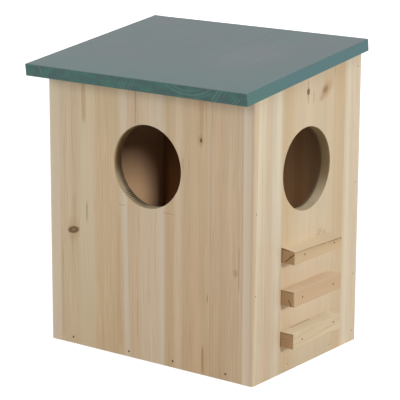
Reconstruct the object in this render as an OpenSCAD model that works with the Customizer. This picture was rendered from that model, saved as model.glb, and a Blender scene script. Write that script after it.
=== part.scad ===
// Squirrel house: a box of edge-glued boards with a lean-to roof, two round entrances and a ladder.
// Frame: x across the front, y from front to back, z up, origin at the middle of the footprint.

/* [House] */
// Outer width of the box, across both side walls
house_w = 243; // [210:1:320]
// Outer depth of the box, from the front face to the back face
house_d = 179; // [150:1:260]
// Height of the front wall at its outer face, where the roof rests on it
front_h = 271; // [250:1:360]
// Thickness of the wall boards
wall_t = 12; // [9:0.5:18]
// Thickness of the floor boards
floor_t = 12; // [9:0.5:18]

/* [Roof] */
// Slope of the roof, rising from front to back, in degrees
roof_pitch = 6.75; // [2:0.25:15]
// Thickness of the roof boards
roof_t = 12; // [9:0.5:18]
// Overhang of the roof past each side wall
roof_side = 8; // [0:1:25]
// Overhang of the roof past the front wall, along the slope
roof_front = 24; // [0:1:50]

/* [Entrances] */
// Diameter of both entrances
entrance_d = 80; // [50:1:100]
// Drop from the top of the front wall to the centres of both entrances
entrance_drop = 79; // [60:1:100]
// Place of the front entrance, from the middle of the front, to the right
front_entrance_x = -1.5; // [-15:0.5:15]
// Place of the side entrance, from the middle of the side, to the back
side_entrance_y = -3.5; // [-8:0.5:8]

/* [Ladder] */
// Length of a rung
rung_l = 82; // [60:1:100]
// Height of a rung's section
rung_h = 15; // [10:0.5:20]
// How far a rung stands out from the wall
rung_out = 15; // [10:0.5:20]
// From the ground to the lowest rung's centre, and from the highest rung's centre to the entrance
rung_end = 35; // [20:1:45]

/* [Boards] */
// Width of the front wall's left board
front_left_board = 82; // [60:0.5:85]
// Width of the front wall's board that the entrance cuts in two
front_middle_board = 47; // [35:0.5:55]
// Width of the front wall's right board
front_right_board = 37; // [20:0.5:50]
// Wood between the side entrance and the glue line in front of it
side_land = 2; // [1:0.5:12]
// Width of the side wall's board at the back edge
side_back_board = 28; // [15:0.5:35]
// Width of the floor's board at the front
floor_front_board = 58; // [30:0.5:60]
// Width of the floor's board at the back
floor_back_board = 42; // [30:0.5:60]
// Width of the roof's left board
roof_left_board = 42.5; // [30:0.5:55]
// Width of the roof's second board
roof_second_board = 67; // [50:0.5:80]
// Width of the roof's fourth board
roof_fourth_board = 50.5; // [30:0.5:60]
// Width of the roof's right board
roof_right_board = 38.5; // [25:0.5:50]

/* [Hidden] */
$fn = 96;
// Cuts run this far past the faces that they open
cut_over = 2;

bare_front = "#bba98c";
bare_side = "#d3bd99";
stain = "#5f7f78";

// Outer faces of the box
left_x = -house_w / 2;
right_x = house_w / 2;
front_y = -house_d / 2;
back_y = house_d / 2;

// Inner faces, between which the front, back and floor boards fit
inner_left = left_x + wall_t;
inner_right = right_x - wall_t;
inner_front = front_y + wall_t;
inner_back = back_y - wall_t;

// Glue lines, from one edge of each panel to the other
front_lines = [
    inner_left,
    inner_left + front_left_board,
    inner_left + front_left_board + front_middle_board,
    inner_right - front_right_board,
    inner_right
];
side_lines = [
    front_y,
    side_entrance_y - entrance_d / 2 - side_land,
    back_y - side_back_board,
    back_y
];
floor_lines = [inner_front, inner_front + floor_front_board, inner_back - floor_back_board, inner_back];
roof_left = left_x - roof_side;
roof_right = right_x + roof_side;
roof_lines = [
    roof_left,
    roof_left + roof_left_board,
    roof_left + roof_left_board + roof_second_board,
    roof_right - roof_right_board - roof_fourth_board,
    roof_right - roof_right_board,
    roof_right
];
roof_l = roof_front + house_d / cos(roof_pitch);

// Centre height of both entrances, and the even spacing of the rungs up to the side entrance
entrance_z = front_h - entrance_drop;
rung_count = 3;
rung_pitch = (entrance_z - entrance_d / 2 - 2 * rung_end) / (rung_count - 1);

// Height of the roof's underside at a place from front to back
function roof_z(y) = front_h + (y - front_y) * tan(roof_pitch);

// Upright board over a footprint, its top cut to the roof's slope
module upright(x, y) {
    translate([x[0], 0, 0])
        rotate([90, 0, 90])
            linear_extrude(x[1] - x[0])
                polygon([[y[0], 0], [y[1], 0], [y[1], roof_z(y[1])], [y[0], roof_z(y[0])]]);
}

// Round cut through the front wall
module front_entrance() {
    translate([front_entrance_x, inner_front + cut_over, entrance_z])
        rotate([90, 0, 0])
            cylinder(d = entrance_d, h = wall_t + 2 * cut_over);
}

// Round cut through the right wall
module side_entrance() {
    translate([inner_right - cut_over, side_entrance_y, entrance_z])
        rotate([0, 90, 0])
            cylinder(d = entrance_d, h = wall_t + 2 * cut_over);
}

// All that lies above the entrances' centre height
module above_entrance() {
    translate([left_x, front_y, entrance_z])
        cube([house_w, house_d, roof_z(back_y)]);
}

// One board of the left wall, counted from the front
module left_board(i) {
    color(bare_side)
        upright([left_x, inner_left], [side_lines[i - 1], side_lines[i]]);
}

// One board of the right wall, counted from the front
module right_board(i) {
    color(bare_side)
        difference() {
            upright([inner_right, right_x], [side_lines[i - 1], side_lines[i]]);
            side_entrance();
        }
}

// One board of the front wall, counted from the left
module front_board(i) {
    color(bare_front)
        difference() {
            upright([front_lines[i - 1], front_lines[i]], [front_y, inner_front]);
            front_entrance();
        }
}

// The part of the front wall's second board over the entrance
module front_board_upper() {
    intersection() {
        front_board(2);
        above_entrance();
    }
}

// The part of the front wall's second board under the entrance
module front_board_lower() {
    difference() {
        front_board(2);
        above_entrance();
    }
}

// One board of the back wall, counted from the left
module back_board(i) {
    color(bare_front)
        upright([front_lines[i - 1], front_lines[i]], [inner_back, back_y]);
}

// One board of the floor, counted from the front
module floor_board(i) {
    color(bare_front)
        translate([inner_left, floor_lines[i - 1], 0])
            cube([inner_right - inner_left, floor_lines[i] - floor_lines[i - 1], floor_t]);
}

// One board of the roof, counted from the left
module roof_board(i) {
    color(stain)
        translate([roof_lines[i - 1], front_y, front_h])
            rotate([roof_pitch, 0, 0])
                translate([0, -roof_front, 0])
                    cube([roof_lines[i] - roof_lines[i - 1], roof_l, roof_t]);
}

// One rung of the ladder, counted from the bottom
module rung(i) {
    color(bare_side)
        translate([
            right_x,
            side_entrance_y - rung_l / 2,
            rung_end + (i - 1) * rung_pitch - rung_h / 2
        ])
            cube([rung_out, rung_l, rung_h]);
}

for (i = [1:3]) {
    left_board(i);
    right_board(i);
    floor_board(i);
}
for (i = [1, 3, 4])
    front_board(i);
front_board_upper();  // front_board_2_upper
front_board_lower();  // front_board_2_lower
for (i = [1:4])
    back_board(i);
for (i = [1:5])
    roof_board(i);
for (i = [1:rung_count])
    rung(i);
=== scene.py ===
# Squirrel house of planed fir boards with a green stained roof, three ladder rungs and nail heads.
import math
from collections import namedtuple

import bmesh
import bpy
from mathutils import Matrix, Quaternion, Vector


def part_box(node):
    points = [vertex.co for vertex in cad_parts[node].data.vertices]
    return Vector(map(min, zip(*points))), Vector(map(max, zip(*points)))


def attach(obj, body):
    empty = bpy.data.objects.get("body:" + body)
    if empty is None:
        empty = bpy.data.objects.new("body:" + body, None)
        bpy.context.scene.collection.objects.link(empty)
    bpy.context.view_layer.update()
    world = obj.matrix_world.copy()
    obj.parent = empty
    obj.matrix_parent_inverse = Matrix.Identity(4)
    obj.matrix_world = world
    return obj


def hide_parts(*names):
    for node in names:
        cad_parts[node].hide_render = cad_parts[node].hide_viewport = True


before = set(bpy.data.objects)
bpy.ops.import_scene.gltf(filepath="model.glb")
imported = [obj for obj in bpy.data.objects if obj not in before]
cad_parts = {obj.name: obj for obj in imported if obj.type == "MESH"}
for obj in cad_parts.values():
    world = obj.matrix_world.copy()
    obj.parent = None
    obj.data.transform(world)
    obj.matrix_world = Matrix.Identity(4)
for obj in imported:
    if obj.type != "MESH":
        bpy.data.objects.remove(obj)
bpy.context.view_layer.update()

MM = 0.001
HOUSE_MIDDLE = 160 * MM

# The photograph's viewpoint
AIM = Vector((-17.356, 16.486, 136.79)) * MM
CAMERA_TURN = math.radians(36.349)
CAMERA_RISE = math.radians(13.934)
CAMERA_ROLL = math.radians(0.248)
CAMERA_DISTANCE = 1826.15 * MM
CAMERA_LENS = 165.12
CAMERA_SENSOR = 36.0

# Easing of the boards' edges
CORNER_ARRIS = 0.9 * MM
WORN_CORNER_ARRIS = 2.2 * MM
ARRIS = 0.7 * MM
BUTT_ARRIS = 0.3 * MM
RUNG_ARRIS = 0.5 * MM
CORNER_STEPS = 4
ARRIS_STEPS = 2
SHARP_CORNER = math.radians(30)
FLAT_ENOUGH = math.radians(1)
SAME_PLACE = 0.02 * MM
FACES_IT = 0.9
FACES_IT_SQUARELY = 0.99

# Nail heads
NAIL_RADIUS = 0.65 * MM
RUNG_NAIL_RADIUS = 1.0 * MM
FRONT_NAIL_RADIUS = 1.15 * MM
NAIL_PROUD = 0.05 * MM
NAIL_ROUNDING = 0.1 * MM
NAIL_DEPTH = 0.5 * MM
NAIL_SIDES = 14
NAIL_STEPS = 2

# The roof's slope, from the front and back panels' tops
front_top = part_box("front_board_1")[1]
back_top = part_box("back_board_1")[1]
ROOF_PITCH = math.atan2(back_top.z - front_top.z, back_top.y - front_top.y)

# The house's outer corners
HALF_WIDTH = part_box("right_board_1")[1].x
HALF_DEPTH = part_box("back_board_1")[1].y

# The walls' outer faces and the boards' thickness, in mm
WALL_X = HALF_WIDTH / MM
WALL_Y = HALF_DEPTH / MM
BOARD = 12.0

# Directions in the house
UP = (0.0, 0.0, 1.0)
FORWARD = (0.0, -1.0, 0.0)
BACKWARD = (0.0, 1.0, 0.0)
LADDER_SIDE = (1.0, 0.0, 0.0)
FAR_SIDE = (-1.0, 0.0, 0.0)

# The top rung's place, in mm: its wall side and outer face, and its near and far ends
RUNG_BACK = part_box("rung_3")[0].x / MM
RUNG_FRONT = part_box("rung_3")[1].x / MM
RUNG_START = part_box("rung_3")[0].y / MM
RUNG_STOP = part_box("rung_3")[1].y / MM

# The top rung's upper face falls outwards and towards the back: its heights, in mm
RUNG_TOP_AT_WALL = 124.5
RUNG_TOP_NEAR = 122.2
RUNG_TOP_FAR = 119.7

# The entrances, in mm
ENTRANCE_RADIUS = 40.0
ENTRANCE_HEIGHT = 192.0
FRONT_ENTRANCE_X = -1.5
SIDE_ENTRANCE_Y = -3.5

# Tones of the marks in bare wood
KNOT_HALO = "#ae8a5c"
LATE_END = "#8d6c48"
RESIN = "#a87c4a"
SAPWOOD = "#decfb4"
HEARTWOOD = "#c6a67c"
PENCIL = "#7d6448"
GLUE = "#7b5f40"
RIM_LIP = "#ccb388"
RIM_SAW_MARK = "#523c22"
# Painted shade at the inner edge of an entrance's rim
RIM_INNER_SHADE = "#4a3520"
TORN_DARK = "#94754c"
TORN_PALE = "#eddcbf"
RUNG_BELOW_ARRIS = "#a37a48"
RUNG_ARRIS_LINE = "#7c562c"
RUNG_GAP_SHADE = "#7a5733"
RUNG_CRACK = "#5f411f"
RUNG_END_EDGE = "#6b4a26"

# Tones of the roof's stain
ROOF_FACE = "#56686b"
ROOF_LATE = "#485b5f"
ROOF_GREEN = "#4a6e6a"
ROOF_WARM = "#62686b"
ROOF_EDGE = "#436b6d"
ROOF_NEAR_EDGE = "#456e69"
ROOF_END_GREEN = "#38655b"
ROOF_END_GREY = "#3a5655"
ROOF_END_LATE = "#6a9086"
PALE_STAIN = "#7ba69b"

# Where the roof's face turns greener towards the front, with less painted sheen: all the way, and not
# at all, in mm
STAIN_FRONT = -82.0
STAIN_BACK = 8.0

# Tones of the nails
STEEL_DARK = "#4c3724"
STEEL_LIGHT = "#785e45"

# How far the grain stands up
GRAIN_RELIEF = 0.25 * MM

# How far the rings wander, slowly and quickly, in mm
SLOW_BEND = 5.0
QUICK_BEND = 0.9

# How uneven the years are, and how faint the faintest ring is
UNEVEN_YEARS = 2.2
FAINTEST_RING = 0.15

# A knot: how ragged it is, how far up and down the grain gives way, and how far aside
KNOT_RAGGED = 0.35
KNOT_STRETCH = 0.12
KNOT_PUSH = 0.7

# How much of each figure shows in the wood
RING_SHARE = 0.42
DARK_STREAK_SHARE = 0.34
PALE_STREAK_SHARE = 0.10
FIBRE_SHARE = 0.18
BROAD_SHARE = 0.24
KNOT_HALO_SHARE = 0.4
KNOT_CORE_SHARE = 0.92
KNOT_EDGE_SHARE = 0.75
LATE_END_SHARE = 0.35

# How much shows in the roof's stain
STAIN_BROAD_SHARE = 0.14
STAIN_FLECK_SHARE = 0.18
STAIN_GREEN_SHARE = 0.35
STAIN_FRONT_SHARE = 0.4
STAIN_WARM_SHARE = 0.45
STAIN_END_SHARE = 0.15

# Where each set of boards starts in the noise, and the step from board to board
WALL_SEED = 0.0
WALL_SEED_STEP = 7.3
ROOF_SEED = 211.0
ROOF_SEED_STEP = 5.7
RUNG_SEED = 307.0
RUNG_SEED_STEP = 11.3

# The Mix node's sockets that take and give colours
MIX_FIRST = 6
MIX_SECOND = 7
MIX_RESULT = 2


def linear(code):
    """A colour written as a hex code, as the linear colour that a shader takes."""
    channels = [int(code[i : i + 2], 16) / 255 for i in (1, 3, 5)]
    lit = [c / 12.92 if c <= 0.04045 else ((c + 0.055) / 1.055) ** 2.4 for c in channels]
    return (*lit, 1.0)


class Value:
    """A value that changes over a surface. Arithmetic on it adds Math nodes to its finish."""

    def __init__(self, finish, socket):
        self.finish = finish
        self.socket = socket

    def maths(self, operation, first, second=0.0):
        return self.finish.add("Math", {0: first, 1: second}, operation=operation)

    def __add__(self, other):
        return self.maths("ADD", self, other)

    def __sub__(self, other):
        return self.maths("SUBTRACT", self, other)

    def __rsub__(self, other):
        return self.maths("SUBTRACT", other, self)

    def __mul__(self, other):
        return self.maths("MULTIPLY", self, other)

    def __truediv__(self, other):
        return self.maths("DIVIDE", self, other)

    def __pow__(self, other):
        return self.maths("POWER", self, other)

    def __abs__(self):
        return self.maths("ABSOLUTE", self)

    def whole(self):
        return self.maths("FLOOR", self)

    def part(self):
        return self.maths("FRACT", self)

    def most(self, other):
        return self.maths("MAXIMUM", self, other)

    def ramp(self, low, high):
        """Nought below low, one above high, and smooth between them."""
        ends = {0: self, 1: low, 2: high}
        return self.finish.add("MapRange", ends, interpolation_type="SMOOTHSTEP")

    def near(self, place, half_width, soft):
        """One within half_width of place, fading to nought over soft."""
        return 1 - abs(self - place).ramp(half_width, half_width + soft)

    def between(self, start, stop, soft):
        """One from start to stop, fading to nought over soft beyond them."""
        return self.near((start + stop) / 2, (stop - start) / 2, soft)


def distance(sideways, upward):
    """The straight distance that two offsets at right angles make."""
    return (sideways * sideways + upward * upward) ** 0.5


class Finish:
    """A material in the making."""

    def __init__(self, name):
        self.material = bpy.data.materials.new(name)
        self.material.use_nodes = True
        self.tree = self.material.node_tree
        self.tree.nodes.clear()

    def add(self, kind, sockets=None, output=0, **settings):
        """Adds one node: its kind, its sockets' links, values or hex codes, and its settings."""
        node = self.tree.nodes.new(f"ShaderNode{kind}")
        for name, value in settings.items():
            setattr(node, name, value)
        for key, value in (sockets or {}).items():
            if isinstance(value, Value):
                self.tree.links.new(value.socket, node.inputs[key])
            else:
                node.inputs[key].default_value = linear(value) if isinstance(value, str) else value
        return Value(self, node.outputs[output]) if node.outputs else None

    def noise(self, x, y, z, detail=2.0):
        place = self.add("CombineXYZ", {0: x, 1: y, 2: z})
        return self.add("TexNoise", {"Vector": place, "Scale": 1.0, "Detail": detail})

    def chance(self, value):
        """A number between nought and one that differs for each value."""
        return self.add("TexWhiteNoise", {"W": value}, noise_dimensions="1D")

    def blend(self, share, first, second, how="MIX"):
        colours = {0: share, MIX_FIRST: first, MIX_SECOND: second}
        return self.add("Mix", colours, MIX_RESULT, data_type="RGBA", blend_type=how)

    def scaled(self, colour, amount):
        """A colour made lighter or darker by an amount that changes over the surface."""
        return self.add("VectorMath", {0: colour, "Scale": amount}, operation="SCALE")

    def facing(self, direction):
        """How squarely the surface faces a direction: one facing it, minus one turned away."""
        normal = self.add("NewGeometry", output="Normal")
        both = {0: normal, 1: direction}
        return self.add("VectorMath", both, "Value", operation="DOT_PRODUCT")

    def surface(self, shader):
        self.add("OutputMaterial", {"Surface": shader})


# How a board lies in the house: which way its width, thickness and grain run, in house axes
Lie = namedtuple("Lie", "across deep along pitch")
FRONT_LIE = Lie(0, 1, 2, 0.0)
SIDE_LIE = Lie(1, 0, 2, 0.0)
FLOOR_LIE = Lie(1, 2, 0, 0.0)
ROOF_LIE = Lie(0, 2, 1, ROOF_PITCH)
RUNG_LIE = Lie(2, 0, 1, 0.0)

# A board's timber: its lie, where the heart of the tree is from the board's middle (across, deep),
# the width of a year's growth in mm, its colours, its knots and the marks in its face; then the tones
# under its grain, the marks over its end grain, how strong its grain is, and how much the grain runs
# out of the face
Cut = namedtuple(
    "Cut",
    "lie heart growth early late knots marks tones last figure slant",
    defaults=((), (), 1.0, 0.006),
)

# A knot: its place and half its size in mm, the tones of its middle and edge, and how much it leans
Knot = namedtuple(
    "Knot",
    "across along wide tall core edge lean",
    defaults=("#86684a", "#664a2c", 0.0),
)

# The tint painted on a wall's inner face for the light and shade inside the house: a tint, how it
# goes over the timber and how much of it
Inside = namedtuple("Inside", "tint how share")


def axes(finish, lie):
    """Across, deep and along in mm, and the direction of the grain."""
    sockets = {
        "Vector": finish.add("TexCoord", output="Object"),
        "Rotation": (-lie.pitch, 0.0, 0.0),
        "Scale": (1 / MM, 1 / MM, 1 / MM),
    }
    turned = finish.add("Mapping", sockets, vector_type="POINT")
    split = [finish.add("SeparateXYZ", {0: turned}, i) for i in range(3)]
    grain = Vector((0.0, 0.0, 0.0))
    grain[lie.along] = 1.0
    grain.rotate(Matrix.Rotation(lie.pitch, 3, "X"))
    return split[lie.across], split[lie.deep], split[lie.along], grain


def middle(node, lie):
    """The middle of a board in mm, across and deep, in its own turned axes."""
    low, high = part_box(node)
    centre = Matrix.Rotation(-lie.pitch, 3, "X") @ ((low + high) / 2)
    return centre[lie.across] / MM, centre[lie.deep] / MM


class Timber:
    """The growth rings, fibres and knots of one board, as values over its surface."""

    def __init__(self, finish, node, cut, seed):
        self.finish = finish
        self.seed = seed
        self.across, self.deep, self.along, self.grain = axes(finish, cut.lie)
        across, deep, along = self.across, self.deep, self.along
        mid_across, mid_deep = middle(node, cut.lie)
        heart_across = across - (mid_across + cut.heart[0])
        heart_deep = deep - (mid_deep + cut.heart[1])
        self.from_middle = deep - mid_deep

        slow = self.streaks(per_mm=1 / 60, length=190, detail=1.0) - 0.5
        quick = self.streaks(per_mm=1 / 7, length=80, detail=2.0) - 0.5
        from_heart = distance(heart_across, heart_deep)
        reach = from_heart + slow * SLOW_BEND + quick * QUICK_BEND + along * cut.slant

        self.knots = []
        for knot in cut.knots:
            sideways = (across - knot.across) / knot.wide
            upward = (along - knot.along - (across - knot.across) * knot.lean) / knot.tall
            ragged = finish.noise(across / 3 + seed, deep / 9, along / 3, 2.0) - 0.5
            outline = distance(sideways, upward) + ragged * KNOT_RAGGED
            longer = (sideways * sideways + upward * upward * KNOT_STRETCH) ** 0.5
            reach = reach + (1 - longer.ramp(0.0, 2.6)) * (knot.wide * KNOT_PUSH)
            self.knots.append((knot, outline, longer))

        uneven = finish.noise(reach / 10 + seed, 0.0, 0.0, 1.0) * UNEVEN_YEARS
        year = reach / cut.growth + uneven
        turn = year.part()
        strength = finish.chance(year.whole() + seed) ** 2 * (1 - FAINTEST_RING) + FAINTEST_RING
        patchy = self.streaks(per_mm=1 / 5, length=70, detail=2.0).ramp(0.3, 0.68)
        self.late = turn.ramp(0.25, 0.85) * (1 - turn.ramp(0.85, 1.0)) * strength * patchy
        self.broad = finish.noise(reach / 13 + seed, 3.0, along / 400, 1.0) - 0.5
        self.fibre = self.streaks(per_mm=1.6, length=38, detail=3.0) - 0.5
        self.fleck = self.streaks(per_mm=0.55, length=90, detail=2.0) - 0.5
        dark = self.streaks(per_mm=0.85, length=55, detail=1.0)
        self.dark_streak = dark.ramp(0.58, 0.76)
        pale = self.streaks(per_mm=0.6, length=75, detail=1.0, shift=9.0)
        self.pale_streak = pale.ramp(0.58, 0.8)
        self.end = abs(finish.facing(self.grain)).ramp(0.55, 0.95)

    def streaks(self, per_mm, length, detail, shift=0.0):
        """Noise drawn out along the grain: how many streaks to the mm, and their length in mm."""
        across = self.across * per_mm + self.seed
        deep = self.deep * per_mm + shift
        return self.finish.noise(across, deep, self.along / length, detail)


# What shows in a board. Each kind of mark takes its own values first, and its board later.


def mark(paint):
    """Turns a painting function into a kind of mark."""

    def with_values(*values, **named):
        def on_board(timber, colour):
            return paint(timber, colour, *values, **named)

        return on_board

    return with_values


@mark
def pale_strip(timber, colour, at_top, at_bottom, half_width, share, tint="#dacbb4"):
    """A light band of sapwood, which may lean between the foot and the top of the wall."""
    wall_height = 270.0
    lean = (at_top - at_bottom) / wall_height
    offset = timber.across - timber.along * lean + timber.fleck * 1.5
    mask = offset.near(at_bottom, half_width, 2.6)
    return timber.finish.blend(mask * share, colour, tint)


@mark
def band(timber, colour, start, stop, share, tint, soft=3.0):
    """A broad band of another tone along the grain."""
    offset = timber.across + timber.fleck * 2.5
    mask = offset.ramp(start - soft, start + soft) * (1 - offset.ramp(stop - soft, stop + soft))
    return timber.finish.blend(mask * share, colour, tint)


@mark
def low_tone(timber, colour, full, none, share, tint):
    """A tone that comes in towards the foot of a board."""
    mask = 1 - (timber.along + timber.fleck * 20).ramp(full, none)
    return timber.finish.blend(mask * share, colour, tint, "MULTIPLY")


@mark
def edge_grain(timber, colour, outer, inner, corner, middle_tint, joint):
    """The planed front edge of a side wall, in three tones from the house's corner to the joint."""
    finish = timber.finish
    mask = finish.facing(FORWARD).ramp(0.6, 0.9)
    into = (timber.deep - outer) / (inner - outer) + timber.fleck * 0.15
    tint = finish.blend(into.ramp(0.15, 0.4), corner, middle_tint)
    tint = finish.blend(into.ramp(0.5, 0.8), tint, joint)
    tint = finish.scaled(tint, timber.fibre * 0.12 + 1)
    return finish.blend(mask * 0.9, colour, tint)


@mark
def painted_light_top(timber, colour, tint, far_tint=None):
    """The upper face of a rung, painted paler than its outer face as painted light from above. Its
    tone may change towards the back.
    """
    finish = timber.finish
    mask = finish.facing(UP).ramp(0.5, 0.9)
    top = tint
    if far_tint:
        top = finish.blend(timber.along.ramp(-5.0, 30.0), tint, far_tint)
    return finish.blend(mask * 0.8, colour, top)


@mark
def sawn_rim(timber, colour, across, out, outside, inside, inner_tint, lit_foot_tint, lit_foot_range, rough):
    """The sawn rim of an entrance: browner than the face, partly its cut grain and partly painted
    shade; paler where it faces up, as painted light from above; with painted shade at its inner edge.

    A rough cut keeps the face's colour at its outer edge and has saw marks at the lower left.
    """
    strokes_per_radian = 18
    marks_middle = -2.05
    finish = timber.finish
    sideways = timber.across - across
    upward = timber.along - ENTRANCE_HEIGHT
    reach = distance(sideways, upward)
    cut = reach.near(ENTRANCE_RADIUS, 1.2, 0.6) * (1 - abs(finish.facing(out)).ramp(0.3, 0.6))
    into = (timber.deep - outside) / (inside - outside)
    # Painted light: the rim is paler where it faces up
    foot = finish.facing(UP).ramp(*lit_foot_range)
    tint = finish.blend(foot, inner_tint, lit_foot_tint)
    if rough:
        tint = finish.blend(into.ramp(0.0, 0.42), RIM_LIP, tint)
        turn = sideways.maths("ARCTAN2", upward, sideways)
        stroke = (turn * strokes_per_radian + timber.fleck * 0.4 + into * 0.5).part()
        marks = stroke.ramp(0.3, 0.45) * (1 - stroke.ramp(0.6, 0.75))
        marks = marks * turn.near(marks_middle, 0.25, 0.15)
        tint = finish.blend(marks * into.ramp(0.1, 0.4) * 0.9, tint, RIM_SAW_MARK)
    # Painted shade along the rim's inner edge
    inner_edge_shade = into.ramp(0.72, 0.9) * sideways.ramp(-6.0, 10.0)
    tint = finish.blend(inner_edge_shade * 0.8, tint, RIM_INNER_SHADE)
    return finish.blend(cut * 0.92, colour, tint)


@mark
def resin_streak(timber, colour, across, top, bottom, wide_top, wide_bottom, share, tint):
    """A streak along the grain that narrows from one end to the other."""
    slope = (wide_top - wide_bottom) / (top - bottom)
    half = (timber.along - bottom) * (slope / 2) + wide_bottom / 2
    inside = 1 - (abs(timber.across - across + timber.fleck) / half.most(0.2)).ramp(0.55, 1.25)
    length = timber.along.ramp(bottom - 3, bottom + 6) * (1 - timber.along.ramp(top - 4, top + 4))
    return timber.finish.blend(inside * length * share, colour, tint)


@mark
def stain_and_light_patch(timber, colour, across, along, wide, tall, share, tint, lean=0.0):
    """A soft round patch with a ragged edge, which may lean: a stain in the wood, and in two places
    painted light, on the wall between the rungs and as sheen on the roof.
    """
    rise = timber.along - along
    sideways = (timber.across - across - rise * lean) / wide
    upward = rise / tall
    outline = distance(sideways, upward) + timber.fleck * 0.6
    return timber.finish.blend((1 - outline.ramp(0.2, 1.2)) * share, colour, tint)


@mark
def pencil_dash(timber, colour, start, stop, along, share=0.3):
    """A faint pencil line across the grain."""
    level = timber.along + timber.fibre * 0.8
    length = timber.across.between(start, stop, 1.0)
    inside = level.near(along, 0.25, 0.5) * length
    return timber.finish.blend(inside * share, colour, PENCIL)


@mark
def arris_shadow(timber, colour, share):
    """A dark line under the front arris of the rung planed off aslant, browner below the line."""
    slope = (RUNG_TOP_FAR - RUNG_TOP_NEAR) / (RUNG_STOP - RUNG_START)
    finish = timber.finish
    below = timber.across - (timber.along - RUNG_START) * slope - RUNG_TOP_NEAR
    outer = finish.facing(LADDER_SIDE).ramp(0.6, 0.9)
    colour = finish.blend(below.ramp(-6.5, 0.0) * outer * 0.22, colour, RUNG_BELOW_ARRIS)
    broken = finish.noise(timber.along / 14, 7.0, 3.0, 2.0).ramp(0.25, 0.6) * 0.6 + 0.4
    grows = timber.along.ramp(RUNG_START, RUNG_STOP) * 0.65 + 0.35
    line = below.near(-0.7, 0.2, 0.8) * outer * broken * grows
    return finish.blend(line * share, colour, RUNG_ARRIS_LINE)


@mark
def torn_patch(timber, colour, across, along, wide, tall, share):
    """A patch of torn grain: dark strokes and pale flecks."""
    finish = timber.finish
    sideways = (timber.across - across) / wide
    upward = (timber.along - along) / tall
    place = 1 - (sideways * sideways + upward * upward).ramp(0.5, 1.1)
    torn = finish.noise(timber.across / 4.5, timber.along / 2.4, 6.0, 1.0)
    colour = finish.blend(torn.near(0.47, 0.03, 0.05) * place * share, colour, TORN_DARK)
    return finish.blend(torn.ramp(0.56, 0.66) * place * share, colour, TORN_PALE)


@mark
def gap_shade_line(timber, colour, start, stop, share):
    """Painted shade in a narrow gap between a rung's top and the wall."""
    place = timber.along.between(start, stop, 5.0)
    back = 1 - (timber.deep + timber.fleck * 0.8).ramp(RUNG_BACK + 0.5, RUNG_BACK + 1.6)
    upper = timber.finish.facing(UP).ramp(0.5, 0.9)
    return timber.finish.blend(back * place * upper * share, colour, RUNG_GAP_SHADE)


@mark
def end_check(timber, colour, low, high, half_width, share):
    """A dark crack in the end of a rung, between two places: out from the wall, and height, in mm."""
    slope = (high[0] - low[0]) / (high[1] - low[1])
    offset = timber.deep - (timber.across - low[1]) * slope + timber.fleck * 0.8
    length = timber.across.between(low[1], high[1], 0.8)
    line = offset.near(low[0], half_width, 0.6) * length
    return timber.finish.blend(line * timber.end * share, colour, RUNG_CRACK)


@mark
def end_edge(timber, colour, top, share):
    """The darker upper edge of a rung's end, and painted shade on its wall side, in the corner
    against the wall.
    """
    upper = (timber.across + timber.fleck * 1.2).ramp(top - 2.4, top - 0.4)
    wall_corner_shade = 1 - (timber.deep + timber.fleck * 1.2).ramp(RUNG_BACK + 0.4, RUNG_BACK + 2.1)
    edge = upper.most(wall_corner_shade) * timber.end
    return timber.finish.blend(edge * share, colour, RUNG_END_EDGE)


@mark
def end_arc(timber, colour, across, below, radius, start, stop, share):
    """A year's growth, a pale arc in stained end grain that hangs from the top of the board."""
    sideways = timber.across - across
    upward = timber.from_middle - (radius - below)
    reach = distance(sideways, upward)
    length = timber.across.between(start, stop, 6.0)
    inside = reach.near(radius, 0.25, 0.7) * length
    return timber.finish.blend(inside * timber.end * share, colour, PALE_STAIN)


@mark
def end_scratch(timber, colour, at_foot, at_top, share, low=-6.0, high=6.0):
    """A pale slanting line in stained end grain."""
    lean = (at_top - at_foot) / (high - low)
    offset = timber.across - (timber.from_middle - low) * lean + timber.fleck * 0.8
    length = timber.from_middle.between(low, high, 1.5)
    inside = offset.near(at_foot, 0.2, 0.7) * length
    return timber.finish.blend(inside * timber.end * share, colour, PALE_STAIN)


@mark
def glue_line(timber, colour, across, share):
    """A dark glue line between two boards."""
    inside = timber.across.near(across, 0.15, 0.35)
    return timber.finish.blend(inside * share, colour, GLUE)


def inward(node, lie):
    """The direction from a wall board to the middle of the house."""
    low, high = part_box(node)
    direction = Vector((0.0, 0.0, 0.0))
    house_middle = Vector((0.0, 0.0, HOUSE_MIDDLE))
    direction[lie.deep] = math.copysign(1.0, (house_middle - (low + high) / 2)[lie.deep])
    return direction


def wooden(finish, colour, rough, sheen, raised, relief):
    """Puts a colour on wood, with its roughness, its sheen and its raised grain."""
    sockets = {"Strength": relief, "Distance": GRAIN_RELIEF, "Height": raised}
    bump = finish.add("Bump", sockets)
    sockets = {"Base Color": colour, "Roughness": rough, "Specular IOR Level": sheen, "Normal": bump}
    finish.surface(finish.add("BsdfPrincipled", sockets))
    return finish.material


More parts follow.
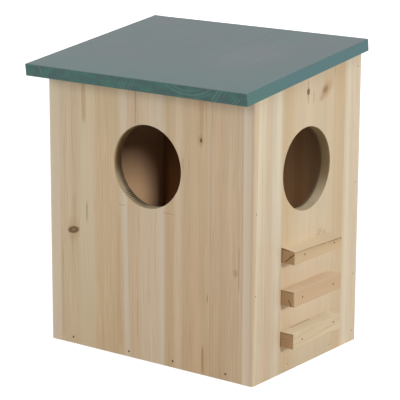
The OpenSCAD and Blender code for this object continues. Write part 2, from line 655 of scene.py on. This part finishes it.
def planed_finish(node, cut, seed, end_tint="#b39a78", end_share=0.75, inside=None):
    """Bare fir, planed outside. Its inner face takes the tint given for its wall, which paints the
    light and shade inside the house.
    """
    finish = Finish(f"{node}_fir")
    timber = Timber(finish, node, cut, seed)
    colour = cut.early
    for paint in cut.tones:
        colour = paint(timber, colour)
    colour = finish.blend(timber.late * (RING_SHARE * cut.figure), colour, cut.late)
    colour = finish.blend(timber.dark_streak * (DARK_STREAK_SHARE * cut.figure), colour, cut.late)
    fine = (timber.pale_streak * PALE_STREAK_SHARE + timber.fibre * FIBRE_SHARE) * cut.figure
    colour = finish.scaled(colour, fine + timber.broad * BROAD_SHARE + 1)
    for paint in cut.marks:
        colour = paint(timber, colour)
    for knot, outline, longer in timber.knots:
        halo = 1 - longer.ramp(0.4, 1.9)
        colour = finish.blend(halo * KNOT_HALO_SHARE, colour, KNOT_HALO)
        core = 1 - outline.ramp(0.75, 1.4)
        edge = outline.near(0.75, 0.12, 0.4)
        colour = finish.blend(core * KNOT_CORE_SHARE, colour, knot.core)
        colour = finish.blend(edge * KNOT_EDGE_SHARE, colour, knot.edge)
    ends = finish.blend(timber.late * LATE_END_SHARE, end_tint, LATE_END)
    colour = finish.blend(timber.end * end_share, colour, ends)
    for paint in cut.last:
        colour = paint(timber, colour)
    # Painted light and shade on the inner faces
    if inside:
        inner = finish.facing(inward(node, cut.lie)).ramp(0.5, 0.9)
        colour = finish.blend(inner * inside.share, colour, inside.tint, inside.how)
    raised = timber.fibre * 0.6 + timber.late * 0.25
    rough = timber.fleck * 0.15 + timber.end * 0.15 + 0.62
    return wooden(finish, colour, rough, sheen=0.35, raised=raised, relief=0.18)


def stain_patches(timber, wide, long, start, layer):
    """Broad patches over the whole roof, so many mm wide and long."""
    return timber.finish.noise(timber.across / wide + start, timber.along / long, layer, 2.0)


def stained_finish(node, cut, seed):
    """Green stain over fir: it lies thin on the face and soaks into the end grain."""
    finish = Finish(f"{node}_stain")
    timber = Timber(finish, node, cut, seed)
    face = finish.blend(timber.late * RING_SHARE, cut.early, cut.late)
    uneven = timber.broad * STAIN_BROAD_SHARE + timber.fibre * FIBRE_SHARE
    face = finish.scaled(face, uneven + timber.fleck * STAIN_FLECK_SHARE + 1)
    # Painted sheen: the face is greener towards the front, and greyer with warm patches behind
    towards_front = 1 - timber.along.ramp(STAIN_FRONT, STAIN_BACK)
    green = stain_patches(timber, wide=48, long=36, start=3, layer=5.0).ramp(0.42, 0.7)
    green = green * STAIN_GREEN_SHARE + towards_front * STAIN_FRONT_SHARE
    face = finish.blend(green, face, ROOF_GREEN)
    warm = stain_patches(timber, wide=55, long=42, start=31, layer=8.0).ramp(0.48, 0.72)
    face = finish.blend(warm * (1 - towards_front) * STAIN_WARM_SHARE, face, ROOF_WARM)
    # A paler grey patch on the face: painted sheen
    face = roof_sheen_patch(timber, face)
    sides = finish.facing(LADDER_SIDE)
    edge = finish.blend(towards_front, ROOF_EDGE, ROOF_NEAR_EDGE)
    edge = finish.scaled(edge, timber.fleck * 0.16 + timber.fibre * 0.1 + 1)
    face = finish.blend(abs(sides).ramp(0.5, 0.9), face, edge)
    cloud = finish.noise(timber.across / 12 + seed, timber.deep / 7, 2.0, 2.0)
    ends = finish.blend(cloud.ramp(0.38, 0.62), ROOF_END_GREEN, ROOF_END_GREY)
    ends = finish.blend(timber.late * STAIN_END_SHARE, ends, ROOF_END_LATE)
    colour = finish.blend(timber.end, face, ends)
    for paint in cut.marks:
        colour = paint(timber, colour)
    raised = timber.fibre * 0.7 - timber.late * 0.4
    rough = timber.fleck * 0.12 + timber.end * 0.15 + 0.42
    return wooden(finish, colour, rough, sheen=0.45, raised=raised, relief=0.2)


def nail_finish():
    """Dull steel that has browned."""
    finish = Finish("browned_steel")
    place = finish.add("TexCoord", output="Object")
    patch = finish.add("TexNoise", {"Vector": place, "Scale": 900.0, "Detail": 2.0})
    colour = finish.blend(patch, STEEL_DARK, STEEL_LIGHT)
    rough = patch * 0.2 + 0.65
    sockets = {"Base Color": colour, "Roughness": rough, "Specular IOR Level": 0.15}
    finish.surface(finish.add("BsdfPrincipled", sockets))
    return finish.material


def show(name, shape, material, stands_for=None):
    """Turns a worked shape into a piece of the house."""
    mesh = bpy.data.meshes.new(name)
    shape.to_mesh(mesh)
    shape.free()
    mesh.materials.append(material)
    piece = bpy.data.objects.new(name, mesh)
    bpy.context.scene.collection.objects.link(piece)
    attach(piece, "root")
    if stands_for:
        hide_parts(stands_for)
    return piece


def glued_edges(node, lie):
    """The places across the grain, in metres, where this board is glued to its neighbours."""
    low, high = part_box(node)
    part, number = node.replace("_board", "").split("_")[:2]
    kind = KINDS[part][int(number) - 1] if part in KINDS else lone_piece
    return kind(low[lie.across], high[lie.across])


def ease(shape, edges, width, steps, smooth=True):
    """Rounds the given edges of a shape."""
    rounded = bmesh.ops.bevel(
        shape, geom=edges, offset=width, offset_type="OFFSET", segments=steps,
        profile=0.5, affect="EDGES", clamp_overlap=True, material=-1,
    )
    for face in rounded["faces"]:
        face.smooth = smooth


def ease_outer_corner(shape, width):
    """Rounds the upright edges at the house's outer corners."""
    corner = [
        edge
        for edge in shape.edges
        if all(abs(abs(vert.co.x) - HALF_WIDTH) < SAME_PLACE for vert in edge.verts)
        and all(abs(abs(vert.co.y) - HALF_DEPTH) < SAME_PLACE for vert in edge.verts)
    ]
    if corner:
        ease(shape, corner, width, CORNER_STEPS)


def plane_aslant(shape, corners):
    """Planes off all that stands above the plane through three places, in mm."""
    near_back, near_front, far_front = [Vector(corner) * MM for corner in corners]
    upward = (near_front - near_back).cross(far_front - near_front).normalized()
    geometry = shape.verts[:] + shape.edges[:] + shape.faces[:]
    cut = bmesh.ops.bisect_plane(
        shape, geom=geometry, dist=SAME_PLACE / 4,
        plane_co=near_back, plane_no=upward, clear_outer=True,
    )
    loop = [part for part in cut["geom_cut"] if isinstance(part, bmesh.types.BMEdge)]
    bmesh.ops.contextual_create(shape, geom=loop)
    bmesh.ops.recalc_face_normals(shape, faces=shape.faces[:])


def planed_board(node, lie, arris, material):
    """A board as the saw and plane leave it: its outer edges eased, its glued edges kept sharp."""
    shape = bmesh.new()
    shape.from_mesh(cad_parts[node].data)
    bmesh.ops.remove_doubles(shape, verts=shape.verts[:], dist=SAME_PLACE)
    bmesh.ops.dissolve_limit(
        shape, angle_limit=FLAT_ENOUGH, verts=shape.verts[:], edges=shape.edges[:]
    )
    if node in PLANED_ASLANT:
        plane_aslant(shape, PLANED_ASLANT[node])
    glue = glued_edges(node, lie)
    side_wall = lie is SIDE_LIE

    def stays_sharp(face):
        if lie is RUNG_LIE and face.normal.x < -FACES_IT:
            return True
        if side_wall and abs(face.normal.z) > FACES_IT:
            return True
        if side_wall and face.normal.dot(inward(node, lie)) > FACES_IT:
            return True
        if abs(face.normal[lie.across]) < FACES_IT_SQUARELY:
            return False
        place = face.calc_center_median()[lie.across]
        return any(abs(place - line) < SAME_PLACE for line in glue)

    for face in shape.faces:
        bends = [edge.calc_face_angle(0.0) for edge in face.edges]
        face.smooth = any(FLAT_ENOUGH < bend < SHARP_CORNER for bend in bends)
    if side_wall:
        ease_outer_corner(shape, WORN_CORNER_ARRIS if node == WORN_BOARD else CORNER_ARRIS)
    eased = [
        edge
        for edge in shape.edges
        if edge.is_manifold
        and edge.calc_face_angle() > SHARP_CORNER
        and not any(stays_sharp(face) for face in edge.link_faces)
    ]
    ease(shape, eased, arris, ARRIS_STEPS)
    return show(f"{node}_planed", shape, material, node)


# Which edges across the grain a board has glued or butted, and so keeps sharp


def lone_piece(low, high):
    return ()


def first_board(low, high):
    return (high,)


def inner_board(low, high):
    return (low, high)


def last_board(low, high):
    return (low,)


def panel(count):
    """The kinds of the boards of a panel, in order."""
    return [first_board] + [inner_board] * (count - 2) + [last_board]


# The panels between walls have no free edge
KINDS = {
    "left": panel(3),
    "right": panel(3),
    "front": [inner_board] * 4,
    "back": [inner_board] * 4,
    "floor": [inner_board] * 3,
    "roof": panel(5),
}

# The wall board whose outer corner is rounded the most
WORN_BOARD = "right_board_1"

# Three places on a face that is planed off aslant, in mm
PLANED_ASLANT = {
    "rung_3": (
        (RUNG_BACK, RUNG_START, RUNG_TOP_AT_WALL),
        (RUNG_FRONT, RUNG_START, RUNG_TOP_NEAR),
        (RUNG_FRONT, RUNG_STOP, RUNG_TOP_FAR),
    ),
}

# Tints painted on the inner faces: painted shade that darkens the inside of the house, and on the
# left wall a paler tone that brightens the light falling there through the side entrance
SHADED_INSIDE = Inside("#6a4e36", "MULTIPLY", 1.0)
INSIDE_LIGHT_AND_SHADE = {
    "left": Inside("#edbd90", "MIX", 0.8),
    "back": Inside("#edc4a0", "MULTIPLY", 1.0),
    "right": SHADED_INSIDE,
    "front": SHADED_INSIDE,
    "floor": SHADED_INSIDE,
}

# The rims' foot tints are painted light where the rims face up; their inner edges take painted shade
front_rim = sawn_rim(
    across=FRONT_ENTRANCE_X, out=FORWARD, outside=-WALL_Y, inside=BOARD - WALL_Y,
    inner_tint="#7a5a34", lit_foot_tint="#f6e0ba", lit_foot_range=(0.0, 0.7), rough=True,
)
side_rim = sawn_rim(
    across=SIDE_ENTRANCE_Y, out=LADDER_SIDE, outside=WALL_X, inside=WALL_X - BOARD,
    inner_tint="#9b7f55", lit_foot_tint="#dbc8a6", lit_foot_range=(0.1, 1.0), rough=False,
)
right_front_edge = edge_grain(
    outer=WALL_X, inner=WALL_X - BOARD, corner="#d0b698", middle_tint="#dec9b1", joint="#e2cfb5"
)
left_front_edge = edge_grain(
    outer=-WALL_X, inner=BOARD - WALL_X, corner="#dccdb4", middle_tint="#dac9ae", joint="#dcc6ac"
)
strip_one = pale_strip(-30.8, -25.6, 1.8, 0.7)
strip_two = pale_strip(12.8, 16.6, 1.6, 0.6)
seam = glue_line(72.4, 0.22)

# The timber of each board that has marks of its own
CUTS = {
    "front_board_1": Cut(
        FRONT_LIE, heart=(-150, 46), growth=2.3, early="#d8c1a0", late="#b48c5e",
        knots=[Knot(-92.4, 116.7, 6.0, 3.2, lean=0.18)],
        marks=[
            band(-84, -68, 0.6, "#d8c8a8"),
            low_tone(-20, 200, 0.3, "#f0e8dc"),
            strip_one,
            resin_streak(-107.0, 118, 5, 3.0, 5.5, 0.17, "#ad8a5e"),
            resin_streak(-91.0, 152, 121, 5.0, 4.0, 0.22, RESIN),
            resin_streak(-94.0, 113, 90, 3.0, 1.6, 0.25, RESIN),
            resin_streak(-78, 275, 225, 5.6, 3.4, 0.42, "#b67c42"),
            resin_streak(-80.2, 262, 226, 0.9, 0.9, 0.3, "#96682f"),
            resin_streak(-75.8, 250, 226, 0.8, 0.8, 0.25, "#96682f"),
            resin_streak(-75.3, 146, 127, 1.5, 1.0, 0.62, "#62431f"),
            resin_streak(-35.4, 140, 8, 4.5, 7.0, 0.22, "#bb8f58"),
            pencil_dash(-35, -28, 150.7),
        ],
        tones=[
            band(-114, -106, 0.5, "#dfd0b8", 3.5),
            band(-106, -86, 0.5, "#d4bf9f"),
            band(-64, -34, 0.5, "#cfb48d"),
        ],
        last=[front_rim],
        figure=1.25,
    ),
    "front_board_2": Cut(
        FRONT_LIE, heart=(130, 50), growth=2.7, early="#d9c3a5", late="#bc9468",
        knots=[],
        marks=[
            strip_one,
            strip_two,
            resin_streak(-14.9, 268, 228, 1.2, 1.0, 0.45, "#8a6038"),
            resin_streak(-13.4, 60, 22, 1.6, 1.6, 0.3, "#ab7f50"),
            pencil_dash(18.5, 30, 150.7),
        ],
        tones=[band(-25, -10, 0.42, "#cdad8b"), band(3, 11, 0.3, "#d6c6ab")],
        last=[front_rim],
    ),
    "front_board_3": Cut(
        FRONT_LIE, heart=(-120, -44), growth=2.1, early="#dac3a4", late="#b0855a",
        knots=[Knot(61.7, 225.6, 1.0, 1.9, "#5c3f1e", "#553919")],
        marks=[
            low_tone(-20, 250, 0.32, "#ede2d2"),
            resin_streak(62.0, 285, 229, 7.5, 4.6, 0.36, "#ba8a4c"),
            stain_and_light_patch(61.2, 225.8, 4.2, 7.0, 0.45, "#a8743a"),
            resin_streak(67.4, 274, 240, 2.4, 1.4, 0.24, "#8f5f33"),
            resin_streak(40.8, 206, 194, 1.2, 0.8, 0.45, "#7b5c38"),
            resin_streak(69.6, 79, 71, 1.1, 0.9, 0.75, "#573a1a"),
            resin_streak(64.5, 27, 0, 2.6, 2.6, 0.5, "#a8793a"),
            resin_streak(63.4, 27, 3, 0.8, 0.8, 0.4, "#7b5528"),
            pencil_dash(18.5, 30, 150.7),
            seam,
        ],
        tones=[band(20, 31, 0.5, "#c6a87e"), band(40, 71, 0.5, "#d2b28a", 4.0)],
        last=[front_rim],
    ),
    "front_board_4": Cut(
        FRONT_LIE, heart=(-110, 42), growth=2.0, early="#d5bb9b", late="#ae8458",
        knots=[],
        marks=[
            low_tone(-20, 250, 0.34, "#eaded0"),
            resin_streak(105.2, 130, 88, 1.4, 1.2, 0.4, "#8f5f36"),
            stain_and_light_patch(101.6, 106.0, 3.4, 5.0, 0.42, "#a06a40"),
            seam,
        ],
        tones=[
            band(82, 88, 0.35, "#cdae86", 2.0),
            band(93, 99, 0.3, "#e0ccae", 2.0),
            band(105, 112, 0.6, "#dac4a6", 1.5),
        ],
    ),
    "right_board_1": Cut(
        SIDE_LIE, heart=(-150, 60), growth=3.0, early="#d6c7ae", late="#bd9a71",
        knots=[],
        marks=[
            pale_strip(-50.5, -50.5, 2.0, 0.5, "#e0d6c0"),
            low_tone(-40, 230, 0.4, "#dfcfc3"),
            pale_strip(-86.0, -91.0, 1.6, 0.32, "#cfa873"),
            pale_strip(-80.6, -87.0, 0.4, 0.3, "#eadbbe"),
            right_front_edge,
        ],
        tones=[
            band(-82, -74, 0.25, "#ddccac", 2.0),
            band(-72, -62, 0.4, "#d0b391", 2.0),
            band(-60, -53, 0.5, "#dccfb2"),
        ],
    ),
    "right_board_2": Cut(
        SIDE_LIE, heart=(170, 60), growth=3.4, early="#d0bd9f", late="#bb9064",
        knots=[Knot(-3.3, 264.9, 1.9, 2.7, "#77573a", "#6a4a29")],
        marks=[
            resin_streak(-4.2, 296, 268, 1.0, 1.0, 0.35, "#a07a4c"),
            resin_streak(-3.0, 262, 252, 1.4, 0.8, 0.4, "#9a7348"),
            stain_and_light_patch(32.0, 270.0, 12.0, 18.0, 0.3, "#c39a6c", 0.3),
            stain_and_light_patch(27.0, 262.5, 10.5, 10.5, 0.5, "#ad845a", 0.6),
            stain_and_light_patch(25.5, 262.8, 5.5, 4.4, 0.62, "#845b33", 0.4),
            stain_and_light_patch(20.0, 255.8, 4.6, 4.0, 0.35, "#a2794d", 0.5),
            stain_and_light_patch(53.0, 272.0, 9.0, 26.0, 0.3, "#c6a072"),
            resin_streak(6.2, 264, 251, 1.3, 0.8, 0.6, "#80603c"),
            resin_streak(42.8, 282, 273, 1.0, 0.8, 0.4, "#80603c"),
            # Painted light: the wall between the rungs made paler where the rungs shade it
            stain_and_light_patch(-3.0, 74.0, 62.0, 80.0, 0.45, "#ebd6ba"),
            torn_patch(24.0, 125.0, 11.0, 5.0, 0.36),
        ],
        tones=[
            band(-46, -25, 0.55, "#c8ab80", 6.0),
            band(-12, 12, 0.3, "#d8c3a6", 6.0),
            band(42, 62, 0.45, "#c8ab80", 4.0),
        ],
        last=[side_rim],
        figure=0.45,
    ),
    "right_board_3": Cut(
        SIDE_LIE, heart=(-120, -50), growth=2.8, early="#d6c5aa", late="#bd976d",
        knots=[],
        marks=[band(65, 72, 0.55, "#e0d3b8", 1.5)],
    ),
}

# The timber of the hidden boards
WALL_TONES = (("#d6c3a3", "#b88f64"), ("#d2bb98", "#b0885a"), ("#d7c5a7", "#bb956a"))
HIDDEN_HEARTS = ((-130, 48), (120, -52), (-60, 71), (140, -44))
HIDDEN_KNOTS = {
    "left_board_2": Knot(17.0, 98.0, 4.4, 2.9),
    "back_board_1": Knot(-83.0, 212.0, 2.2, 1.7),
    "back_board_3": Knot(41.0, 54.0, 5.4, 3.3),
}
HIDDEN_EDGES = {"left_board_1": left_front_edge}


def cut_for(node, lie, index):
    """The timber of a board on a hidden side, with bands, streaks and knots like the front's."""
    early, late = WALL_TONES[index % len(WALL_TONES)]
    heart = HIDDEN_HEARTS[index % len(HIDDEN_HEARTS)]
    low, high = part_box(node)
    start = low[lie.across] / MM
    width = high[lie.across] / MM - start
    shift = 0.11 * (index % 4)
    tones = [
        band(start + width * (0.08 + shift), start + width * (0.22 + shift), 0.55, SAPWOOD),
        band(start + width * (0.42 + shift), start + width * (0.6 + shift), 0.5, HEARTWOOD),
    ]
    knots = [HIDDEN_KNOTS[node]] if node in HIDDEN_KNOTS else []
    marks = [HIDDEN_EDGES[node]] if node in HIDDEN_EDGES else []
    for knot in knots:
        above = knot.along + knot.tall
        below = knot.along - knot.tall
        marks += [
            resin_streak(knot.across + 1, above + 32, above, knot.wide, knot.wide * 0.7, 0.22, RESIN),
            resin_streak(knot.across - 1, below, below - 24, knot.wide * 0.6, 1.4, 0.25, RESIN),
        ]
    growth = 2.5 + 0.3 * (index % 3)
    return Cut(lie, heart, growth, early, late, knots, marks, tones)


# How the boards of each wall lie, and how far their edges are eased
WALLS = {
    "left": (SIDE_LIE, ARRIS),
    "right": (SIDE_LIE, ARRIS),
    "front": (FRONT_LIE, BUTT_ARRIS),
    "back": (FRONT_LIE, BUTT_ARRIS),
    "floor": (FLOOR_LIE, BUTT_ARRIS),
}


def wall_boards():
    """The four walls and the floor."""
    nodes = [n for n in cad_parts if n.split("_")[0] in WALLS]
    for index, node in enumerate(sorted(nodes)):
        wall = node.split("_")[0]
        lie, arris = WALLS[wall]
        plain_name = "front_board_2" if node.startswith("front_board_2") else node
        cut = CUTS.get(plain_name) or cut_for(node, lie, index)
        seed = WALL_SEED + WALL_SEED_STEP * index
        finish = planed_finish(node, cut, seed, inside=INSIDE_LIGHT_AND_SHADE[wall])
        planed_board(node, lie, arris, finish)


# A painted sheen patch on the roof, the heart of each board, and the marks in its front end
roof_sheen_patch = stain_and_light_patch(52.0, 23.0, 50.0, 60.0, 0.4, "#707477")
ROOF_HEARTS = ((-40, 30), (20, 60), (-60, -40), (0, 44), (-42, 34))
ROOF_MARKS = (
    [end_scratch(-109.4, -111.4, 0.3, -1.0, 5.0)],
    [],
    [end_scratch(foot, foot + 4.0, 0.18, -4.5, 1.5) for foot in (-17.0, -13.5, -10.0, -5.0, -1.5)],
    [
        end_arc(64.0, 2.3, 47.0, 38.0, 86.0, 0.22),
        end_arc(64.0, -1.5, 43.0, 50.0, 80.0, 0.12),
        end_arc(64.0, 5.0, 50.0, 58.0, 88.0, 0.12),
    ],
    [
        end_scratch(89.6, 98.4, 0.3),
        end_scratch(94.0, 103.0, 0.26),
        end_scratch(99.5, 108.0, 0.14),
        end_scratch(112.6, 116.5, 0.34, -5.5, -1.5),
        end_scratch(116.0, 121.0, 0.34, -5.5, -0.5),
    ],
)


def roof_boards():
    """The stained roof panel."""
    for index, heart in enumerate(ROOF_HEARTS):
        node = f"roof_board_{index + 1}"
        cut = Cut(ROOF_LIE, heart, 3.4, ROOF_FACE, ROOF_LATE, [], ROOF_MARKS[index])
        finish = stained_finish(node, cut, ROOF_SEED + ROOF_SEED_STEP * index)
        planed_board(node, ROOF_LIE, ARRIS, finish)


RUNG_TIMBER = {
    "rung_1": Cut(
        RUNG_LIE, heart=(22, -9), growth=3.4, early="#d4c09e", late="#b08c5c",
        knots=[],
        marks=[painted_light_top("#f2e6ca"), gap_shade_line(-26.0, 2.0, 0.7)],
        last=[end_edge(42.5, 0.45)],
        figure=1.5,
        slant=0.06,
    ),
    "rung_2": Cut(
        RUNG_LIE, heart=(-14, 17), growth=2.6, early="#c8a985", late="#b08a60",
        knots=[],
        marks=[painted_light_top("#ecd5b8")],
        last=[end_edge(83.5, 0.3), end_check((132.9, 69.4), (130.5, 74.8), 0.35, 0.75)],
        figure=0.4,
    ),
    "rung_3": Cut(
        RUNG_LIE, heart=(9, 15), growth=2.6, early="#cdb28b", late="#b38d60",
        knots=[],
        marks=[painted_light_top("#e9d5b5", "#dccaad"), arris_shadow(0.75)],
        last=[end_edge(123.6, 0.6), end_check((126.4, 111.6), (135.6, 119.6), 0.55, 0.8)],
        figure=0.5,
    ),
}


def rungs():
    """The three sticks of the ladder."""
    for index, (node, cut) in enumerate(RUNG_TIMBER.items()):
        seed = RUNG_SEED + RUNG_SEED_STEP * index
        finish = planed_finish(node, cut, seed, end_tint="#c29e76", end_share=0.95)
        planed_board(node, RUNG_LIE, RUNG_ARRIS, finish)


def nail_heads(name, spots, facing, material, radius=NAIL_RADIUS):
    """Small round nail heads, driven almost flush. Each spot is in mm on the surface."""
    shape = bmesh.new()
    outward = Vector(facing)
    turn = outward.to_track_quat("Z", "Y").to_matrix().to_4x4()
    for spot in spots:
        sink = outward * (NAIL_PROUD - NAIL_DEPTH / 2)
        place = Matrix.Translation(Vector(spot) * MM + sink) @ turn
        made = bmesh.ops.create_cone(
            shape, cap_ends=True, segments=NAIL_SIDES, radius1=radius,
            radius2=radius, depth=NAIL_DEPTH, matrix=place,
        )
        rim = [
            edge
            for edge in {e for v in made["verts"] for e in v.link_edges}
            if all((vert.co - Vector(spot) * MM).dot(outward) > 0 for vert in edge.verts)
        ]
        ease(shape, rim, NAIL_ROUNDING, NAIL_STEPS, smooth=False)
    show(name, shape, material)


def all_nails():
    """The nails of walls, floor and rungs. Those on the hidden sides mirror the others."""
    steel = nail_finish()
    side_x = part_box("right_board_1")[1].x / MM
    front_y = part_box("front_board_1")[0].y / MM
    back_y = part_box("back_board_1")[1].y / MM
    rung_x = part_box("rung_1")[1].x / MM
    low = [(-94.3, 6.5), (-24.2, 5.5), (29.1, 6.5), (90.8, 6.5)]
    side = [
        (-30.9, 7.0), (42.2, 7.0), (-85.6, 164.0), (-85.6, 86.6),
        (83.5, 277.3), (83.5, 162.6), (83.5, 69.7), (83.5, 10.9),
    ]
    rung = [
        (-27.4, 116.6), (23.5, 116.6), (-30.0, 75.8),
        (23.3, 75.8), (-29.4, 34.3), (24.9, 37.3),
    ]
    front_spots = [(x, front_y, z) for x, z in low]
    back_spots = [(x, back_y, z) for x, z in low]
    right_spots = [(side_x, y, z) for y, z in side]
    left_spots = [(-side_x, y, z) for y, z in side]
    rung_spots = [(rung_x, y, z) for y, z in rung]
    nail_heads("front_nails", front_spots, FORWARD, steel, FRONT_NAIL_RADIUS)
    nail_heads("back_nails", back_spots, BACKWARD, steel, FRONT_NAIL_RADIUS)
    nail_heads("right_nails", right_spots, LADDER_SIDE, steel)
    nail_heads("left_nails", left_spots, FAR_SIDE, steel)
    nail_heads("rung_nails", rung_spots, LADDER_SIDE, steel, RUNG_NAIL_RADIUS)


# The studio


def seen_directly(finish):
    """One for what the camera sees, straight or in a reflection, and nought for other light."""
    camera = finish.add("LightPath", output="Is Camera Ray")
    glossy = finish.add("LightPath", output="Is Glossy Ray")
    through = finish.add("LightPath", output="Is Transmission Ray")
    return camera.most(glossy).most(through)


WORLD_LIGHT = 0.2
FLOOR_HALF = 6.0
FLOOR_DROP = 0.3 * MM
FLOOR_GLOW = 0.94
FLOOR_SHADE = (0.3, 0.3, 0.3, 1.0)
FLOOR_WHITE = (0.8, 0.8, 0.8, 1.0)


def white_floor():
    """A sheet of white paper under the house, which glows only where it is seen."""
    shape = bmesh.new()
    bmesh.ops.create_grid(shape, x_segments=2, y_segments=2, size=FLOOR_HALF)
    bmesh.ops.translate(shape, verts=shape.verts[:], vec=(0, 0, -FLOOR_DROP))
    mesh = bpy.data.meshes.new("white_floor")
    shape.to_mesh(mesh)
    shape.free()
    finish = Finish("white_paper")
    glow = finish.add("Emission", {"Strength": FLOOR_GLOW})
    shade = finish.add("BsdfDiffuse", {"Color": FLOOR_SHADE})
    shown = finish.add("AddShader", {0: glow, 1: shade})
    plain = finish.add("BsdfDiffuse", {"Color": FLOOR_WHITE})
    both = finish.add("MixShader", {0: seen_directly(finish), 1: plain, 2: shown})
    finish.surface(both)
    mesh.materials.append(finish.material)
    floor = bpy.data.objects.new("white_floor", mesh)
    bpy.context.scene.collection.objects.link(floor)


class WorldFinish(Finish):
    """The world's light, made as a finish is."""

    def __init__(self, world):
        world.use_nodes = True
        self.tree = world.node_tree
        self.tree.nodes.clear()


def white_world():
    """Surroundings that are seen as white but light the house only softly."""
    world = bpy.data.worlds.new("white_studio")
    bpy.context.scene.world = world
    finish = WorldFinish(world)
    white = finish.add("Background", {"Color": (1, 1, 1, 1), "Strength": 1.0})
    soft = finish.add("Background", {"Color": (1, 1, 1, 1), "Strength": WORLD_LIGHT})
    both = finish.add("MixShader", {0: seen_directly(finish), 1: soft, 2: white})
    finish.add("OutputWorld", {"Surface": both})


def soft_box(name, place, width, height, power):
    """A broad light that faces the house: its size in metres and its power in watts."""
    lamp = bpy.data.lights.new(name, "AREA")
    lamp.shape = "RECTANGLE"
    lamp.size = width
    lamp.size_y = height
    lamp.energy = power
    holder = bpy.data.objects.new(name, lamp)
    holder.location = place
    holder.rotation_mode = "QUATERNION"
    away = Vector(place) - Vector((0.0, 0.0, HOUSE_MIDDLE))
    holder.rotation_quaternion = away.to_track_quat("Z", "Y")
    bpy.context.scene.collection.objects.link(holder)
    return holder


def around(turn, rise, away):
    """A place round the house: its turn from the front to the ladder side and rise, in degrees."""
    level = math.cos(math.radians(rise)) * away
    sideways = math.sin(math.radians(turn)) * level
    forward = -math.cos(math.radians(turn)) * level
    return (sideways, forward, HOUSE_MIDDLE + math.sin(math.radians(rise)) * away)


def studio_lights():
    """A soft box on the ladder side, a low broad one front left, one above, and one behind."""
    beside = around(turn=85.5, rise=18.0, away=3.0)
    before = around(turn=-22, rise=19, away=1.8)
    above = around(turn=112, rise=60, away=1.8)
    rear = around(turn=-140, rise=10, away=2.2)
    soft_box("ladder_side_light", beside, width=0.36, height=0.5, power=40.0)
    soft_box("front_light", before, width=1.2, height=0.9, power=12.2)
    soft_box("top_light", above, width=1.0, height=1.0, power=7.5)
    behind = soft_box("back_light", rear, width=1.4, height=1.2, power=16.0)
    behind.visible_glossy = False


def photo_camera():
    """The camera at the photograph's viewpoint."""
    lens = bpy.data.cameras.new("photo_camera")
    lens.lens = CAMERA_LENS
    lens.sensor_width = CAMERA_SENSOR
    lens.clip_start = 0.05
    lens.clip_end = 50.0
    camera = bpy.data.objects.new("photo_camera", lens)
    flat = math.cos(CAMERA_RISE)
    sideways = math.sin(CAMERA_TURN) * flat
    forward = -math.cos(CAMERA_TURN) * flat
    back = Vector((sideways, forward, math.sin(CAMERA_RISE)))
    camera.location = AIM + back * CAMERA_DISTANCE
    camera.rotation_mode = "QUATERNION"
    upright = back.to_track_quat("Z", "Y")
    camera.rotation_quaternion = upright @ Quaternion((0.0, 0.0, 1.0), CAMERA_ROLL)
    bpy.context.scene.collection.objects.link(camera)
    bpy.context.scene.camera = camera


bpy.context.scene.view_settings.view_transform = "Standard"
photo_camera()
studio_lights()
white_world()
white_floor()
wall_boards()
roof_boards()
rungs()
all_nails()
